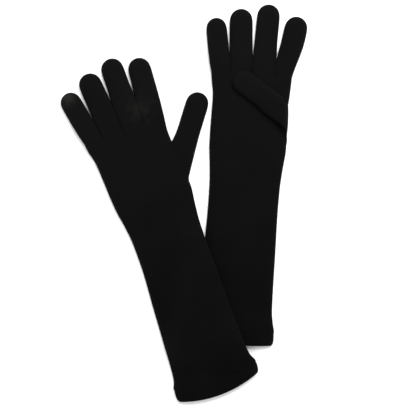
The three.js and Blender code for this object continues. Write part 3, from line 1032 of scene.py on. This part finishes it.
def knitMaterial(name, knit, toneAndHighlight, look, patch):
    material, tree, shader = newMaterial(name, look["shader"])
    uv = tree.nodes.new("ShaderNodeUVMap")
    uv.uv_map = "fabric"
    sizes = {"StitchWidth": look["stitchWidth"], "StitchHeight": look["stitchHeight"]}
    stitches = groupNode(tree, knit, Fabric=uv.outputs["UV"], **sizes)
    place = tree.nodes.new("ShaderNodeTexCoord").outputs["Object"]
    toneAndHighlightNode = groupNode(tree, toneAndHighlight, Place=place, PatchSize=patch, Rubbed=attributeNode(tree, "tipAndHighlight"))
    # painted shade in the hollows between the stitches
    paintedGapShade = mathNode(tree, "MULTIPLY", stitches.outputs["GapShade"], look["gapShade"])
    shade = mathNode(tree, "SUBTRACT", toneAndHighlightNode.outputs["Amount"], paintedGapShade)
    shade = mathNode(tree, "MULTIPLY_ADD", toneAndHighlightNode.outputs["Lint"], look["lintShade"], shade, clamp=True)
    # painted light, falling more strongly on the hand end than on the sleeve
    shade = mathNode(tree, "MULTIPLY_ADD", attributeNode(tree, "paintedLightFall"), look["paintedLightFallShade"], shade)
    shade = mathNode(tree, "MULTIPLY", shade, look["shade"])
    colour = mixColour(tree, shade, look["dark"], look["light"])
    # painted highlight on the back of the left hand, and the lighter left little fingertip
    colour = mixColour(tree, toneAndHighlightNode.outputs["Rub"], colour, look["tipAndHighlight"])
    feed(tree, colour, shader.inputs["Base Color"])
    normal = bumpNormal(tree, stitches.outputs["Height"], look["relief"], look["reliefStrength"])
    feed(tree, normal, shader.inputs["Normal"])
    return material


threadLook = {
    "dark": (0.0022, 0.0022, 0.0023, 1),
    "light": (0.0055, 0.0055, 0.0057, 1),
    "twistScale": 900.0,
    "relief": 0.1,
    "shader": {"Roughness": 0.7, "Specular IOR Level": 0.08, "Sheen Weight": 0.01},
}


def threadMaterial(toneAndHighlight):
    material, tree, shader = newMaterial("hemThread", threadLook["shader"])
    place = tree.nodes.new("ShaderNodeTexCoord").outputs["Object"]
    twist = tree.nodes.new("ShaderNodeTexWave")
    twist.bands_direction = "DIAGONAL"
    twist.inputs["Scale"].default_value = threadLook["twistScale"]
    feed(tree, place, twist.inputs["Vector"])
    toneAndHighlightNode = groupNode(tree, toneAndHighlight, Place=place)
    colour = mixColour(tree, toneAndHighlightNode.outputs["Amount"], threadLook["dark"], threadLook["light"])
    feed(tree, colour, shader.inputs["Base Color"])
    normal = bumpNormal(tree, twist.outputs["Fac"], threadLook["relief"], 1.0)
    feed(tree, normal, shader.inputs["Normal"])
    return material


gloves = {side: Glove(side) for side in ("right", "left")}
for glove in gloves.values():
    readOutline(glove)
print("outlines read from the CAD solids")

knit, toneAndHighlight = knitGroup(), toneAndHighlightGroup()
knitBlack = knitMaterial("knitBlack", knit, toneAndHighlight, knitLook, 0.05)
hemBlack = knitMaterial("hemBlack", knit, toneAndHighlight, {**knitLook, "relief": 0.45}, 0.03)
hemThread = threadMaterial(toneAndHighlight)
print("materials made")


lightnessLook = {
    "from": 170.0,  # below the wrist
    "length": 330.0,
    "tipIn": 4.0,  # the lighter fingertip's centre, from the end of the finger
    "tip": (19.0, 0.97),  # radius and amount
    "backAt": (0.7, 12.5),  # the painted highlight's centre, from the fork beside the index finger
    "back": (27.0, 0.52),
}


# Places, sizes and amounts of the lighter left little fingertip and of the painted highlight on the back of
# the left hand.
def highlightAndTipSpots(glove):
    if glove.side == "right":
        return []
    little = glove.digits["little"]
    tip = little["start"] + little["direction"] * (little["reach"] - lightnessLook["tipIn"])
    return [(tip, *lightnessLook["tip"]), (glove.forks[1] + np.array(lightnessLook["backAt"]), *lightnessLook["back"])]


# Marks how lightened each point of the knit is: painted light falls more strongly on the hand end than on the
# sleeve, the left little fingertip is lighter, and a painted highlight lies on the back of the left hand.
def markLightness(piece, glove):
    spots = glove.local([v.co for v in piece.data.vertices])[:, :2]
    # painted light: lighter from the sleeve towards the fingers
    paintedLightFall = smoothStep((spots[:, 1] + lightnessLook["from"]) / lightnessLook["length"])
    # the painted highlight on the back of the left hand, and the lighter left little fingertip
    tipAndHighlight = np.zeros(len(spots))
    for centre, radius, amount in highlightAndTipSpots(glove):
        near = smoothStep(1 - np.linalg.norm(spots - centre, axis=1) / radius)
        tipAndHighlight = np.maximum(tipAndHighlight, amount * near)
    piece.data.attributes.new("paintedLightFall", "FLOAT", "POINT").data.foreach_set("value", paintedLightFall)
    piece.data.attributes.new("tipAndHighlight", "FLOAT", "POINT").data.foreach_set("value", tipAndHighlight)


def dress(piece, material):
    piece.data.materials.clear()
    piece.data.materials.append(material)


# Lengths for each place, in millimetres, measured from its own hinge or seam. The script only turns them into
# points in the world.
bends = {"wrist": 15, "finger": (1.2, 17.0), "openThumb": (0.5, 14.0), "foldedThumb": (7.2, 10.0)}
firstSeed, seedStep = 3.7, 11.0

for number, (side, glove) in enumerate(gloves.items()):
    seed = firstSeed + seedStep * number
    arm, hand = side + "_arm", side + "_hand"
    body, *fingers, thumb = makeGlove(glove, seed)
    dress(body, knitBlack)
    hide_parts(side + "_sleeve", side + "_hand")
    half = bends["wrist"]
    glove.world((0, -half, 0))
    glove.world((0, half, 0))
    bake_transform(body)
    hem = makeHem(glove, seed)
    dress(hem, hemBlack)
    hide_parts(side + "_cuff_hem")
    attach(hem, arm)
    stitches = makeStitches(glove, seed)
    dress(stitches, hemThread)
    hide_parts(side + "_hem_stitching")
    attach(stitches, arm)
    for piece in (body, hem, thumb, *fingers):
        markLightness(piece, glove)
    for name, finger in zip(digitNames, fingers):
        dress(finger, knitBlack)
        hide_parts(f"{side}_{name}_finger")
        digit = glove.digits[name]
        near, far = ((*(digit["start"] + digit["direction"] * s), 0) for s in bends["finger"])
        glove.world(near)
        glove.world(far)
        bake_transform(finger)
    if side == "left":
        middle = (glove.seamEnds[0] + glove.seamEnds[1]) / 2
        start, end = ((*(middle + glove.seamSide * s), 0) for s in bends["openThumb"])
    else:
        start, end = ((0, 0, height) for height in bends["foldedThumb"])
    dress(thumb, knitBlack)
    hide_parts(side + "_thumb")
    glove.world(start)
    glove.world(end)
    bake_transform(thumb)
    print(side, "glove made")

studio = {
    "frameWidth": 0.451,
    "aim": (0.0231, -0.0022),
    "lens": 120.0,
    "sensor": 36.0,
    "above": 0.005,  # the height at which the frame has its width
    "tableSize": 6.0,
    "surround": 0.8,
    "softboxes": {"keyLight": ((0.35, 0.75, 1.15), 0.9, 24), "fillLight": ((-1.2, -0.4, 1.9), 1.6, 8)},
    "paper": {"Base Color": (0.93, 0.93, 0.93, 1), "Roughness": 0.9, "Specular IOR Level": 0.1},
}

low, high = (Vector(corner) for corner in cadBox)
centre = (low + high) / 2

bm = bmesh.new()
bmesh.ops.create_grid(bm, x_segments=1, y_segments=1, size=studio["tableSize"])
table = objectFrom(bm, "table")
table.data.materials.append(newMaterial("paper", studio["paper"])[0])

world = bpy.data.worlds.new("studio")
bpy.context.scene.world = world
world.use_nodes = True
world.node_tree.nodes["Background"].inputs["Color"].default_value = (1, 1, 1, 1)
world.node_tree.nodes["Background"].inputs["Strength"].default_value = studio["surround"]


def softbox(name, place, size, power):
    data = bpy.data.lights.new(name, "AREA")
    data.shape = "SQUARE"
    data.size = size
    data.energy = power
    lamp = bpy.data.objects.new(name, data)
    lamp.location = place
    lamp.rotation_euler = (centre - Vector(place)).to_track_quat("-Z", "Y").to_euler()
    bpy.context.scene.collection.objects.link(lamp)


for name, (place, size, power) in studio["softboxes"].items():
    softbox(name, place, size, power)

cameraData = bpy.data.cameras.new("camera")
cameraData.lens = studio["lens"]
cameraData.sensor_width = studio["sensor"]
camera = bpy.data.objects.new("camera", cameraData)
distance = studio["frameWidth"] * studio["lens"] / studio["sensor"]
camera.location = (centre.x + studio["aim"][0], centre.y + studio["aim"][1], distance + studio["above"])
bpy.context.scene.collection.objects.link(camera)
bpy.context.scene.camera = camera
bpy.context.scene.view_settings.view_transform = "Standard"
print("table, light and camera set")
